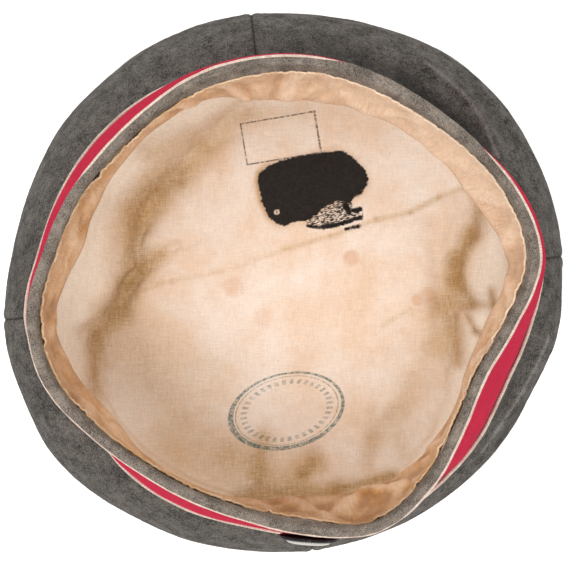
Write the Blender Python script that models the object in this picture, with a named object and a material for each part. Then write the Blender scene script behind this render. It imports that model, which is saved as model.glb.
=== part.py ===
"""Round peakless forage cap of grey wool with a red band, lying on its crown with the opening up.

Metres, +Z up. The origin is on the surface that the crown lies on, where the lines through the four
crown seams cross. -Y is the front, where the cockade sits, +Y the back, and +X the right of the picture.
A cloth is a loft: a cross-section of (radius, height) points, worked out at each angle round Z.
"""

import math
from collections import namedtuple

import bmesh
import bpy
from mathutils import Matrix, Vector

# Driving sizes
RIM_RADIUS = 0.0929          # mean outer radius of the band at the opening
WAIST_RADIUS = 0.0959        # mean outer radius where the band meets the crown
CROWN_RADIUS = 0.1143        # mean outer radius of the crown at its widest
CROWN_HEIGHT = 0.0600        # from the surface up to the waist
BAND_WIDTH = 0.0400          # the red band, measured along the cloth
BAND_BULGE = 0.0020          # how far the middle of the band stands out from straight
WOOL = 0.0020                # crown and band cloth
FACING_CLOTH = 0.0020        # grey cloth turned in at the opening
COTTON = 0.0010              # sweatband and lining cloth
CLEARANCE = 0.0003           # between neighbouring pieces

BELLY_HEIGHT = 0.0160        # height of the crown's widest line
TURN_WIDTH = 0.0140          # how far the crown's lower edge rounds in under itself
SEAM_TURN = math.radians(50) # where on that round the top is sewn to the sides
BELLY_LIFT = 0.55            # share of the side's height over which it climbs straight from the belly
WAIST_REACH = 0.62           # share of the overhang over which the side leaves the waist outwards
FOLD_DEPTH = 0.0035          # the deepest fold in the crown's side

PIPING_RADIUS = 0.0007
FACING_HEIGHT = 0.0110       # how far the turned-in cloth reaches down inside the band
FACING_LIP = 0.0023          # how far its rolled edge stands above the band
FACING_LEAN = 0.0020         # how far its lower edge stands further in than its rolled edge
SWEATBAND_START = 0.0065     # its sewn edge, below the band's edge
SWEATBAND_DEPTH = 0.0400     # from its sewn edge to its free edge
SWEATBAND_HANG = 0.0040      # mean distance that the free edge stands further in than the sewn edge
LINING_DROP = 0.0050         # from the turned-in cloth down to the lining's edge, behind the sweatband
BAG_SLACK = 0.0228           # from the crown's widest line in to the lining's bag, just above its floor
BAG_RADIUS = CROWN_RADIUS - BAG_SLACK
BAG_FLOOR = 0.0600           # radius inside which the floor lies flat
BAG_RISE = 0.0120            # how far the floor climbs from there to the wall, where the bag is widest
BAG_SAG = 0.62               # share of the way from the floor's edge out to the waist at half that height
WRINKLE_HEIGHT = 0.0045      # the highest wrinkle in the floor of the lining

COCKADE_RADIUS = 0.0110
COCKADE_RIM = 0.0010         # thickness of its edge
COCKADE_DOME = 0.0042        # height of its middle above its back
COCKADE_RIBS = 48
RIB_DEPTH = 0.0005

STATIONS = 52                # angular steps round the cap, a multiple of four
BAND_ROWS = 6
PANEL_ROWS = 10
FULL_TURN = 2 * math.pi

# One row for each direction, counted anticlockwise from +X seen from above. rim, waist and crown are
# shares of the mean radii, height of CROWN_HEIGHT, hang of SWEATBAND_HANG, and bag of BAG_RADIUS.
Direction = namedtuple("Direction", "angle rim waist crown height hang bag")
DIRECTIONS = (
    Direction(0, 1.086, 1.080, 1.022, 1.00, 0.99, 0.80),
    Direction(15, 1.067, 1.058, 1.036, 0.99, 1.96, 0.95),
    Direction(30, 1.012, 0.975, 1.042, 0.98, 0.79, 0.98),
    Direction(45, 0.979, 0.940, 1.048, 0.98, 0.49, 0.96),
    Direction(60, 0.972, 0.934, 1.023, 0.99, 0.91, 0.96),
    Direction(75, 0.972, 0.940, 1.007, 1.00, 1.55, 0.95),
    Direction(90, 0.967, 0.947, 1.005, 1.01, 1.72, 0.93),
    Direction(105, 0.960, 0.947, 1.005, 1.01, 0.30, 0.85),
    Direction(120, 0.942, 0.967, 1.002, 1.00, 0.66, 0.78),
    Direction(135, 0.945, 0.982, 1.002, 0.99, 1.15, 0.74),
    Direction(150, 0.970, 0.994, 0.991, 1.00, 1.44, 0.72),
    Direction(165, 1.003, 1.012, 0.990, 1.01, 1.57, 0.71),
    Direction(180, 1.067, 1.065, 1.011, 1.01, 0.59, 0.77),
    Direction(195, 1.071, 1.039, 1.023, 1.00, 0.36, 0.92),
    Direction(210, 1.012, 0.978, 1.037, 0.99, 0.10, 0.98),
    Direction(225, 0.973, 0.991, 1.004, 0.99, 0.08, 0.99),
    Direction(240, 0.966, 0.991, 0.980, 1.00, 0.17, 0.99),
    Direction(255, 0.980, 0.989, 0.964, 1.01, 0.33, 0.99),
    Direction(270, 1.032, 1.022, 0.958, 1.02, 1.50, 1.01),
    Direction(285, 1.087, 1.060, 0.954, 1.02, 1.60, 1.03),
    Direction(300, 1.042, 1.036, 0.954, 1.01, 0.86, 1.00),
    Direction(315, 0.967, 1.022, 0.967, 1.00, 1.25, 0.93),
    Direction(330, 0.932, 1.004, 0.978, 0.99, 1.77, 0.85),
    Direction(345, 0.994, 1.036, 1.001, 0.99, 2.06, 0.84),
)

# Soft folds in the crown's side: where they lie, how wide they are and how far they run, in degrees
# and as a share of the side's height, and their depth as a share of FOLD_DEPTH, inwards where negative.
Fold = namedtuple("Fold", "angle spread level reach depth")
CROWN_FOLDS = (
    Fold(20, 12, 0.62, 0.20, -0.9),
    Fold(36, 11, 0.40, 0.22, 0.7),
    Fold(62, 14, 0.70, 0.18, -0.8),
    Fold(148, 16, 0.45, 0.25, -0.5),
    Fold(187, 8, 0.40, 0.25, 0.5),
    Fold(250, 18, 0.55, 0.20, -0.4),
    Fold(318, 20, 0.72, 0.14, -1.0),
    Fold(320, 24, 0.36, 0.14, 0.6),
    Fold(345, 9, 0.50, 0.25, 0.7),
)

# Wrinkles in the lining's floor. x, y, length and width are shares of BAG_RADIUS, heading is in degrees
# from +X, and height is a share of WRINKLE_HEIGHT.
Wrinkle = namedtuple("Wrinkle", "x y heading length width height")
WRINKLES = (
    Wrinkle(0.62, 0.10, 75, 0.34, 0.10, 1.0),
    Wrinkle(0.28, 0.26, 17, 0.42, 0.06, 0.5),
    Wrinkle(-0.60, 0.20, 62, 0.45, 0.12, 0.9),
    Wrinkle(-0.55, -0.35, 112, 0.36, 0.12, 0.8),
    Wrinkle(-0.10, 0.62, 10, 0.40, 0.09, 0.6),
    Wrinkle(0.42, -0.40, 80, 0.36, 0.10, 0.7),
    Wrinkle(0.66, -0.18, 100, 0.26, 0.09, 0.8),
    Wrinkle(-0.10, -0.22, 18, 0.45, 0.08, 0.3),
)


def around(column, theta):
    """The value of a column at the angle theta, on a smooth closed curve through the rows."""
    step = FULL_TURN / len(DIRECTIONS)
    place = (theta % FULL_TURN) / step
    index = int(place)
    t = place - index
    a, b, c, d = (
        getattr(DIRECTIONS[(index + k) % len(DIRECTIONS)], column) for k in (-1, 0, 1, 2)
    )
    return b + 0.5 * t * (c - a + t * (2 * a - 5 * b + 4 * c - d + t * (3 * (b - c) + d - a)))


def angle_between(theta, degrees):
    """The signed angle from a direction in degrees to theta, in degrees."""
    return (math.degrees(theta) - degrees + 180) % 360 - 180


def waist_radius(theta):
    return WAIST_RADIUS * around("waist", theta)


def waist_height(theta):
    return CROWN_HEIGHT * around("height", theta)


def crown_radius(theta):
    return CROWN_RADIUS * around("crown", theta)


def band_point(theta, share, inset=0.0):
    """A point of the band's wall: share runs from 0 at the waist to 1 at the opening."""
    low = waist_radius(theta)
    lean = RIM_RADIUS * around("rim", theta) - low
    rise = math.sqrt(max(BAND_WIDTH**2 - lean**2, (0.5 * BAND_WIDTH) ** 2))
    bulge = BAND_BULGE * math.sin(math.pi * min(max(share, 0.0), 1.0))
    return low + lean * share + bulge - inset, waist_height(theta) + rise * share


def fold_offset(theta, level):
    """How far the folds move the crown's side outwards. They fade out at both seams."""
    offset = 0.0
    for fold in CROWN_FOLDS:
        across = angle_between(theta, fold.angle) / fold.spread
        along = (level - fold.level) / fold.reach
        offset += fold.depth * math.exp(-across * across - along * along)
    return FOLD_DEPTH * offset * math.sin(math.pi * min(max(level, 0.0), 1.0))


def turn_point(theta, turn):
    """A point of the round under the crown's edge: turn is 0 on the surface and a right angle at the belly."""
    centre = crown_radius(theta) - TURN_WIDTH
    return (
        centre + TURN_WIDTH * math.sin(turn),
        BELLY_HEIGHT * (1 - math.cos(turn)),
    )


def turn_direction(turn):
    """The direction of the round at that point of it."""
    return TURN_WIDTH * math.cos(turn), BELLY_HEIGHT * math.sin(turn)


def side_point(theta, level):
    """A point of the crown's side above the belly: level is 0 at the belly and 1 at the waist."""
    low = (crown_radius(theta), BELLY_HEIGHT)
    high = (waist_radius(theta), waist_height(theta))
    climb, overhang = high[1] - low[1], low[0] - high[0]
    pull_low = (low[0], low[1] + BELLY_LIFT * climb)
    pull_high = (high[0] + WAIST_REACH * overhang, high[1] - (1 - WAIST_REACH) * overhang)
    s = 1 - level
    weights = (s**3, 3 * s * s * level, 3 * s * level * level, level**3)
    points = (low, pull_low, pull_high, high)
    radius, height = (sum(w * p[k] for w, p in zip(weights, points)) for k in (0, 1))
    return radius + fold_offset(theta, level), height


def offset_path(path, distance, first=None, last=None):
    """The path moved to its left by the distance. first and last are its directions there, where they are known.

    A point on the axis stays on it.
    """
    moved = []
    for i, (radius, height) in enumerate(path):
        before, after = path[max(i - 1, 0)], path[min(i + 1, len(path) - 1)]
        run, rise = after[0] - before[0], after[1] - before[1]
        if i == 0 and first:
            run, rise = first
        if i == len(path) - 1 and last:
            run, rise = last
        length = math.hypot(run, rise)
        shift = 0.0 if radius == 0.0 else -rise / length * distance
        moved.append((radius + shift, height + run / length * distance))
    return moved


def wall(path, thickness, first=None, last=None):
    """The closed cross-section of a cloth whose outer face is the path and whose body lies to its left."""
    return path + offset_path(path, thickness, first, last)[::-1]


def mix(a, b, share):
    return a + (b - a) * share


def steps(count):
    return [i / count for i in range(count + 1)]


def band_section(theta):
    path = [band_point(theta, share) for share in steps(BAND_ROWS)]
    path[0] = (path[0][0], path[0][1] + CLEARANCE / 2)
    return wall(path, WOOL)


def panel_section(theta):
    """From the seam under the edge, round the belly and up to the waist."""
    seam = SEAM_TURN + CLEARANCE / TURN_WIDTH
    path = [turn_point(theta, mix(seam, math.pi / 2, share)) for share in steps(3)]
    path += [side_point(theta, level) for level in steps(PANEL_ROWS - 3)[1:]]
    path[-1] = (path[-1][0], path[-1][1] - CLEARANCE / 2)
    return wall(path, WOOL, first=turn_direction(SEAM_TURN))


def top_section(theta):
    """The crown's top, from the axis out to its seam and back along its inner face."""
    centre = crown_radius(theta) - TURN_WIDTH
    flat = [(centre * share, 0.0) for share in (0.0, 0.4, 0.8)]
    curve = [turn_point(theta, SEAM_TURN * share) for share in steps(3)]
    return wall(flat + curve, WOOL, last=turn_direction(SEAM_TURN))


def above_band(theta, inset, height):
    """A point that far in from the band's outer face and that far above its edge, in line with the wall."""
    top = band_point(theta, 1.0)
    low = band_point(theta, 0.8)
    lean = (top[0] - low[0]) / (top[1] - low[1])
    return top[0] - inset + lean * height, top[1] + height


def rim_piping_centre(theta):
    return above_band(theta, PIPING_RADIUS - CLEARANCE, PIPING_RADIUS + CLEARANCE)


def waist_piping_centre(theta):
    """In the corner between the band and the crown's side, clear of both."""
    stand = PIPING_RADIUS + 2.2 * CLEARANCE
    radius, height = band_point(theta, 0.0)
    return radius + stand, height + stand


def facing_lean(depth):
    """How far the turned-in cloth has moved inwards at a depth below the band's edge."""
    return FACING_LEAN * min(depth / FACING_HEIGHT, 1.0)


def facing_section(theta):
    """The cloth rolled over the band's edge and turned down inside it."""
    lip_outer = 2 * PIPING_RADIUS
    leg_outer = WOOL + CLEARANCE
    leg_inner = leg_outer + FACING_CLOTH
    points = (
        (leg_inner + FACING_LEAN, -FACING_HEIGHT),
        (leg_inner, 0.3 * FACING_LIP),
        (mix(lip_outer, leg_inner, 0.7), FACING_LIP),
        (mix(lip_outer, leg_inner, 0.25), FACING_LIP),
        (lip_outer, 0.6 * FACING_LIP),
        (lip_outer, CLEARANCE),
        (leg_outer, CLEARANCE),
        (leg_outer + FACING_LEAN, -FACING_HEIGHT),
    )
    return [above_band(theta, inset, height) for inset, height in points]


def sweatband_section(theta):
    """A loose strip, sewn to the facing at one edge and free at the other."""
    start = WOOL + FACING_CLOTH + 2 * CLEARANCE
    hang = SWEATBAND_HANG * around("hang", theta)
    path = []
    for share in steps(6):
        ease = share * share * (3 - 2 * share)
        depth = SWEATBAND_START + SWEATBAND_DEPTH * share
        height = above_band(theta, 0.0, -depth)[1]
        inset = start + facing_lean(depth) + hang * ease
        path.append((band_radius_at(theta, height) - inset, height))
    return wall(path[::-1], COTTON)


def band_radius_at(theta, height):
    """The outer radius of the band at a height, held at the waist's below it."""
    low, high = band_point(theta, 0.0)[1], band_point(theta, 1.0)[1]
    return band_point(theta, min(max((height - low) / (high - low), 0.0), 1.0))[0]


def wrinkle_height(radius, theta):
    """The height of the wrinkles at a point of the lining's floor."""
    x, y = radius * math.cos(theta) / BAG_RADIUS, radius * math.sin(theta) / BAG_RADIUS
    height = 0.0
    for w in WRINKLES:
        heading = math.radians(w.heading)
        dx, dy = x - w.x, y - w.y
        along = (dx * math.cos(heading) + dy * math.sin(heading)) / w.length
        across = (dy * math.cos(heading) - dx * math.sin(heading)) / w.width
        height += w.height * math.exp(-along * along - across * across)
    return WRINKLE_HEIGHT * height


def lining_section(theta):
    """A bag: a flat wrinkled floor, a rise to its wall, and a wall that goes up behind the sweatband.

    Where the floor ends early, the wall falls in towards it as it hangs.
    """
    underside = WOOL + CLEARANCE
    bag = BAG_RADIUS * around("bag", theta)
    rise = BAG_RISE * (bag - BAG_FLOOR) / (BAG_RADIUS - BAG_FLOOR)
    inset = WOOL + CLEARANCE
    path = []
    for share in (0.0, 0.25, 0.5, 0.75, 1.0):
        radius = BAG_FLOOR * share
        path.append((radius, underside + wrinkle_height(radius, theta) * (share > 0)))
    path[0] = (0.0, underside + wrinkle_height(0.0, 0.0))
    for share in (0.4, 0.75, 1.0):
        radius = mix(BAG_FLOOR, bag, share)
        path.append((radius, underside + rise * share**2 + wrinkle_height(radius, theta) * (1 - share)))
    low = path[-1]
    waist = (waist_radius(theta) - inset, waist_height(theta))
    top = above_band(theta, 0.0, -FACING_HEIGHT - LINING_DROP)[1]
    middle = mix(waist[1], top, 0.5)
    path.append((mix(low[0], waist[0], BAG_SAG), mix(low[1], waist[1], 0.5)))
    path += [waist, (band_radius_at(theta, middle) - inset, middle), (band_radius_at(theta, top) - inset, top)]
    return wall(path, COTTON)


def add_faces(bm, rows, closed):
    """Joins neighbouring rows of points with faces. A point that rows share makes a triangle there."""
    count = len(rows[0])
    pairs = list(zip(rows, rows[1:] + rows[:1])) if closed else list(zip(rows, rows[1:]))
    for row, after in pairs:
        for k in range(count):
            n = (k + 1) % count
            corners = [row[k], after[k], after[n], row[n]]
            unique = list(dict.fromkeys(corners))
            if len(unique) > 2:
                bm.faces.new(unique)
    if not closed:
        bm.faces.new(rows[0])
        bm.faces.new(rows[-1][::-1])


def loft(name, material, section, angles, closed=True, smooth=True):
    """An object lofted round Z through the sections at these angles."""
    bm = bmesh.new()
    on_axis = {}
    rows = []
    for theta in angles:
        row = []
        for k, (radius, height) in enumerate(section(theta)):
            if radius == 0.0:
                if k not in on_axis:
                    on_axis[k] = bm.verts.new((0.0, 0.0, height))
                row.append(on_axis[k])
            else:
                row.append(bm.verts.new((radius * math.cos(theta), radius * math.sin(theta), height)))
        rows.append(row)
    add_faces(bm, rows, closed)
    bmesh.ops.recalc_face_normals(bm, faces=bm.faces)
    mesh = bpy.data.meshes.new(name)
    bm.to_mesh(mesh)
    bm.free()
    if smooth:
        mesh.shade_smooth()
        mesh.set_sharp_from_angle(angle=math.radians(50))
    mesh.materials.append(material)
    obj = bpy.data.objects.new(name, mesh)
    return obj


def piping(name, material, centre, angles):
    """A round cord laid along the centres at these angles."""
    line = bpy.data.curves.new(name, "CURVE")
    line.dimensions = "3D"
    line.bevel_depth = PIPING_RADIUS
    line.bevel_resolution = 1
    spline = line.splines.new("POLY")
    spline.points.add(len(angles) - 1)
    spline.use_cyclic_u = True
    for point, theta in zip(spline.points, angles):
        radius, height = centre(theta)
        point.co = (radius * math.cos(theta), radius * math.sin(theta), height, 1.0)
    line.materials.append(material)
    return bpy.data.objects.new(name, line)


def ring_angles():
    return [FULL_TURN * k / STATIONS for k in range(STATIONS)]


def quarter_angles(quarter):
    """The angles of one crown panel, between two seams."""
    half_gap = CLEARANCE / (2 * WAIST_RADIUS)
    start = quarter * FULL_TURN / 4
    angles = [start + FULL_TURN / STATIONS * k for k in range(STATIONS // 4 + 1)]
    angles[0] += half_gap
    angles[-1] -= half_gap
    return angles


def cockade_section(theta):
    """Round its own axis: a flat back, a ribbed outer ring and a smooth domed middle."""
    rib = RIB_DEPTH * (1 if round(theta / FULL_TURN * 2 * COCKADE_RIBS) % 2 else 0)
    ring = 0.72 * COCKADE_RADIUS
    face = [
        (COCKADE_RADIUS, COCKADE_RIM),
        (mix(ring, COCKADE_RADIUS, 0.5), mix(COCKADE_RIM, COCKADE_DOME, 0.45) - rib),
        (ring, mix(COCKADE_RIM, COCKADE_DOME, 0.7)),
        (0.4 * COCKADE_RADIUS, mix(COCKADE_RIM, COCKADE_DOME, 0.93)),
        (0.0, COCKADE_DOME),
    ]
    return [(0.0, 0.0), (COCKADE_RADIUS, 0.0), *face]


def outer_point(theta, share):
    radius, height = band_point(theta, share)
    return Vector((radius * math.cos(theta), radius * math.sin(theta), height))


def cockade_place():
    """Stands the cockade on the middle of the band's front, its back clear of the cloth under it."""
    front = 0.75 * FULL_TURN
    middle = outer_point(front, 0.5)
    along = outer_point(front + 0.05, 0.5) - outer_point(front - 0.05, 0.5)
    up = outer_point(front, 0.75) - outer_point(front, 0.25)
    normal = along.cross(up).normalized()
    reach = COCKADE_RADIUS / WAIST_RADIUS
    under = [
        outer_point(front + reach * i / 4, 0.5 + COCKADE_RADIUS / BAND_WIDTH * j / 4)
        for i in range(-4, 5)
        for j in range(-4, 5)
        if i * i + j * j <= 16
    ]
    stand = max((point - middle).dot(normal) for point in under) + CLEARANCE
    side = up.cross(normal).normalized()
    turned = Matrix((side, normal.cross(side), normal)).transposed().to_4x4()
    return Matrix.Translation(middle + normal * stand) @ turned


def cloth(name, colour, roughness=0.95, metallic=0.0):
    material = bpy.data.materials.new(name)
    material.use_nodes = True
    shader = material.node_tree.nodes["Principled BSDF"]
    shader.inputs["Base Color"].default_value = (*colour, 1.0)
    shader.inputs["Roughness"].default_value = roughness
    shader.inputs["Metallic"].default_value = metallic
    return material


def main():
    for old in list(bpy.data.objects):
        bpy.data.objects.remove(old)
    cap = bpy.data.collections.new("forage_cap")
    bpy.context.scene.collection.children.link(cap)
    frame = bpy.data.objects.new("cap", None)
    cap.objects.link(frame)

    grey_wool = cloth("grey_wool", (0.12, 0.115, 0.105))
    red_wool = cloth("red_wool", (0.56, 0.01, 0.04))
    cream_wool = cloth("cream_wool", (0.72, 0.62, 0.50))
    tan_cotton = cloth("tan_cotton", (0.55, 0.36, 0.20), 0.8)
    cream_linen = cloth("cream_linen", (0.74, 0.60, 0.44), 0.9)
    black_enamel = cloth("black_enamel", (0.012, 0.012, 0.012), 0.35)

    ring = ring_angles()
    panels = ("back_right", "back_left", "front_left", "front_right")
    pieces = [
        loft("crown_top", grey_wool, top_section, ring),
        loft("band", red_wool, band_section, ring),
        piping("rim_piping", cream_wool, rim_piping_centre, ring),
        piping("waist_piping", cream_wool, waist_piping_centre, ring),
        loft("rim_facing", grey_wool, facing_section, ring),
        loft("sweatband", tan_cotton, sweatband_section, ring),
        loft("lining", cream_linen, lining_section, ring),
    ]
    for quarter, side in enumerate(panels):
        name = "crown_panel_" + side
        pieces.append(loft(name, grey_wool, panel_section, quarter_angles(quarter), closed=False))

    ribs = [FULL_TURN * k / (2 * COCKADE_RIBS) for k in range(2 * COCKADE_RIBS)]
    cockade = loft("cockade", black_enamel, cockade_section, ribs)
    cockade.matrix_world = cockade_place()
    pieces.append(cockade)

    for piece in pieces:
        cap.objects.link(piece)
        piece.parent = frame


main()
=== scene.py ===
"""Looks of a round peakless forage cap that lies on its crown with the head opening up.

Every cloth is cut again as a fine grid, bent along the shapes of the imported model, and finished as
milled wool, thin cotton or plain linen. -Y is the front of the cap, and lengths are in metres.
"""

import math
from collections import namedtuple

import bmesh
import bpy
import numpy as np
from mathutils import Matrix, Vector, noise
from mathutils.bvhtree import BVHTree


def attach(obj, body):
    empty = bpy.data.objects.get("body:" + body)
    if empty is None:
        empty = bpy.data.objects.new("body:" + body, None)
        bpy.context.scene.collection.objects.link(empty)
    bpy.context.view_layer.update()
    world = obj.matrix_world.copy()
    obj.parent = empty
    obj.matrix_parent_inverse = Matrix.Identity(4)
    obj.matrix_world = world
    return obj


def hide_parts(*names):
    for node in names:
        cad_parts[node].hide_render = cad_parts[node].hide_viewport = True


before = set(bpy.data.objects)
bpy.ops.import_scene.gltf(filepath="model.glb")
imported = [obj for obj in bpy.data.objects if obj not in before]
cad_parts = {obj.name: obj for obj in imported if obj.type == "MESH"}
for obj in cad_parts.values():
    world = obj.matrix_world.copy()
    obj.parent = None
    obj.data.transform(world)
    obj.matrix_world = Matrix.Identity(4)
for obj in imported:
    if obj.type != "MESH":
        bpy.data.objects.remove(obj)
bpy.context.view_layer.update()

MM = 0.001
TURN = 2 * math.pi

# The photograph's view: straight down, the cap turned a little anticlockwise in it
PICTURE = 570
VIEW_TURN = math.radians(6.5)
VIEW_DISTANCE = 1.0
VIEW_WIDTH = 219.45 * MM
CAP_CENTRE = (282.2, 288.5)      # the picture's pixel above the cap's own centre
RIM_HEIGHT = 102 * MM
LAMP_DISTANCE = 1.9

# Cloths
WOOL = 2.0 * MM
EDGE_WOOL = 1.5 * MM
COTTON = 0.8 * MM
PIPING = 0.68 * MM
CORNER = 1.36 * MM               # from the waist piping's middle to the seam it lies in
CROWN_HUB = (80 * MM, 30 * MM)   # the middle of the crown's roll, as radius and height
LINING_HUB = (50 * MM, 58 * MM)  # a place inside the cap that sees the lining's wall

COCKADE_SEAT = 97.9 * MM         # how far in front of the cap's centre its back lies
COCKADE_DEPTH = 2.6 * MM
COCKADE_RIBS = 52

DIRECTIONS = 52                  # the frame's rings have a corner in each of these directions
STEP = TURN / DIRECTIONS
NUDGE = math.radians(0.25)       # keeps a ray out of the seams between the crown's panels


def table(columns, *rows):
    """Rows with named columns."""
    kind = namedtuple("row", columns)
    return [kind(*row) for row in rows]


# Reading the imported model

def ring_points(*names):
    """The (radius, height) points of these nodes in each of the frame's directions."""
    rings = [[] for _ in range(DIRECTIONS)]
    for name in names:
        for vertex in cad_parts[name].data.vertices:
            x, y, z = vertex.co
            turn = math.atan2(y, x) / STEP
            if abs(turn - round(turn)) < 0.05:
                rings[round(turn) % DIRECTIONS].append((math.hypot(x, y), z))
    return rings


def middle_line(name):
    """The middle of a piping in each direction."""
    return np.array([np.mean(points, axis=0) for points in ring_points(name)])


def read_skin(names, rays):
    """Where rays first meet these nodes: rows of (radius, height) for each direction.

    rays(k) lists them in direction k, each as a start and a heading in radius and height.
    """
    corners, faces = [], []
    for name in names:
        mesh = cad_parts[name].data
        first = len(corners)
        corners += [vertex.co.copy() for vertex in mesh.vertices]
        faces += [[first + i for i in polygon.vertices] for polygon in mesh.polygons]
    tree = BVHTree.FromPolygons(corners, faces)
    table = []
    for k in range(DIRECTIONS):
        theta = STEP * k + NUDGE
        out = Vector((math.cos(theta), math.sin(theta), 0.0))
        up = Vector((0.0, 0.0, 1.0))
        row = []
        for (radius, height), (run, rise) in rays(k):
            hit = tree.ray_cast(out * radius + up * height, (out * run + up * rise).normalized())[0]
            row.append((math.hypot(hit.x, hit.y), hit.z))
        table.append(row)
    return np.array(table)


def rays_to_hub(hub, low, high, count):
    """Rays from outside to a hub, from the direction of one point round to that of another."""
    angles = [math.atan2(point[1] - hub[1], point[0] - hub[0]) for point in (low, high)]
    rays = []
    for share in np.linspace(0.004, 0.996, count):
        angle = angles[0] + (angles[1] - angles[0]) * share
        run, rise = math.cos(angle), math.sin(angle)
        start = (hub[0] + 0.3 * run, hub[1] + 0.3 * rise)
        rays.append((start, (-run, -rise)))
    return rays


def between(table, place, closed):
    """Values at places between the rows of a table, on smooth curves through them."""
    count = len(table)
    index = np.floor(place).astype(int)
    t = (place - index).reshape((-1,) + (1,) * (table.ndim - 1))
    picks = [index + k for k in (-1, 0, 1, 2)]
    a, b, c, d = (table[p % count] if closed else table[np.clip(p, 0, count - 1)] for p in picks)
    return b + 0.5 * t * (c - a + t * (2 * a - 5 * b + 4 * c - d + t * (3 * (b - c) + d - a)))


def around(table, theta):
    """The table's rows at these angles, round the cap."""
    return between(table, (theta % TURN) / STEP, closed=True)


def laid(table, theta, share):
    """(radius, height) of a skin on a grid: one row for each share along it, one column for each angle."""
    rows = around(table, theta).transpose(1, 0, 2)
    grid = between(rows, share * (len(rows) - 1), closed=False)
    return grid[..., 0], grid[..., 1]


# Bending cloth

def bell(value, width):
    """A smooth bump that is 1 at 0 and has this half width."""
    return np.exp(-((value / width) ** 2))


def smooth(low, high, value):
    t = np.clip((value - low) / (high - low), 0.0, 1.0)
    return t * t * (3 - 2 * t)


def apart(theta, degrees):
    """The signed angle from a direction to theta, in degrees."""
    return (np.degrees(theta) - degrees + 180) % 360 - 180


def by_direction(table, theta, column):
    """A column of a table of directions at these angles, blended round the cap."""
    return np.interp(np.degrees(theta), [row.angle for row in table],
                     [getattr(row, column) for row in table], period=360)


def lumps(points, size, seed=0.0):
    """Smooth noise from -1 to 1 at these points, with lumps of about this size."""
    flat = points.reshape(-1, 3) / size + seed
    return np.array([noise.noise(p) for p in flat.tolist()]).reshape(points.shape[:-1])


def upright(radius, height, theta):
    """Points from radius, height and angle, on a grid."""
    theta = np.broadcast_to(theta, radius.shape)
    return np.stack((radius * np.cos(theta), radius * np.sin(theta), height), axis=-1)


def outward(points):
    """Normals of a grid of points that face away from the side that its rows turn round."""
    along = np.gradient(points, axis=0)
    across = np.gradient(points, axis=1)
    if np.allclose(points[:, 0], points[:, -1]):
        across[:, 0] = across[:, -1] = (points[:, 1] - points[:, -2]) / 2
    normals = np.cross(across, along)
    return normals / np.maximum(np.linalg.norm(normals, axis=-1, keepdims=True), 1e-12)


def bent_cloth(name, material, theta, share, place, size, marks=None, thickness=0.0, replaces=(),
               inside=False):
    """A grid of cloth bent into place, welded where it meets itself, and given a thickness.

    place(theta, share) gives a point for each crossing of the grid, size its length and width for the
    weave, and marks(points) more values for the finish. A cloth without thickness that is seen from
    inside faces inwards.
    """
    columns, rows = len(theta) - 1, len(share) - 1
    bm = bmesh.new()
    bmesh.ops.create_grid(bm, x_segments=columns, y_segments=rows, size=0.5)
    weave = bm.loops.layers.uv.new("weave")
    for face in bm.faces:
        for loop in face.loops:
            co = loop.vert.co
            loop[weave].uv = ((co.x + 0.5) * size[0], (co.y + 0.5) * size[1])
    points = place(theta[None, :], share[:, None])
    found = marks(points) if marks else {}
    layers = {key: bm.verts.layers.float.new(key) for key in found}
    for vertex in bm.verts:
        column, row = round((vertex.co.x + 0.5) * columns), round((vertex.co.y + 0.5) * rows)
        vertex.co = points[row, column]
        for key, layer in layers.items():
            vertex[layer] = found[key][row, column]
    bmesh.ops.remove_doubles(bm, verts=bm.verts, dist=0.000001)
    if inside:
        bmesh.ops.reverse_faces(bm, faces=bm.faces)
    return finished(name, bm, material, thickness, replaces)


def finished(name, bm, material, thickness=0.0, replaces=()):
    """Makes the piece, shades it smooth and lets it ride on the cap."""
    mesh = bpy.data.meshes.new(name)
    bm.to_mesh(mesh)
    bm.free()
    mesh.shade_smooth()
    mesh.materials.append(material)
    piece = bpy.data.objects.new(name, mesh)
    bpy.context.scene.collection.objects.link(piece)
    if thickness:
        wall = piece.modifiers.new("wall", "SOLIDIFY")
        wall.thickness = thickness
        wall.offset = -1.0
    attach(piece, "root")
    if replaces:
        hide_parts(*replaces)
    return piece


# The cap's lines, read from the frame

PANELS = ("back_right", "back_left", "front_left", "front_right")
PANEL_NODES = tuple("crown_panel_" + side for side in PANELS)
waist_line = middle_line("waist_piping")
rim_line = middle_line("rim_piping")
panel_rings = ring_points(*PANEL_NODES)
top_rings = ring_points("crown_top")
lining_rings = ring_points("lining")
sweat_rings = ring_points("sweatband")


def panel_rays(k):
    low = min(panel_rings[k], key=lambda point: point[1])
    high = (waist_line[k][0] - CORNER, waist_line[k][1] - CORNER)
    return rays_to_hub(CROWN_HUB, low, high, 30)


def top_rays(k):
    high = max(top_rings[k])
    low = (CROWN_HUB[0], 0.0)
    return rays_to_hub(CROWN_HUB, low, high, 12)


def lining_rays(k):
    """Straight down inside the hub's radius, then fanned from the hub to the lining's upper edge."""
    inner, height = LINING_HUB
    edge = max(lining_rings[k], key=lambda point: point[1])
    last = math.atan2(edge[1] - 2.5 * MM - height, edge[0] - inner)
    down = [((radius, height), (0.0, -1.0)) for radius in np.linspace(0.01 * MM, inner, 15)[:-1]]
    fan = [(LINING_HUB, (math.cos(a), math.sin(a))) for a in np.linspace(-math.pi / 2, last, 27)]
    return down + fan


def sweat_rays(k):
    heights = [point[1] for point in sweat_rings[k]]
    low, high = min(heights) + 0.6 * MM, max(heights) - 0.6 * MM
    return [((50 * MM, height), (1.0, 0.0)) for height in np.linspace(low, high, 12)]


panel_skin = read_skin(PANEL_NODES, panel_rays)
top_skin = read_skin(("crown_top",), top_rays)
lining_skin = read_skin(("lining",), lining_rays)
sweat_skin = read_skin(("sweatband",), sweat_rays)


# Places in the picture

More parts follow.
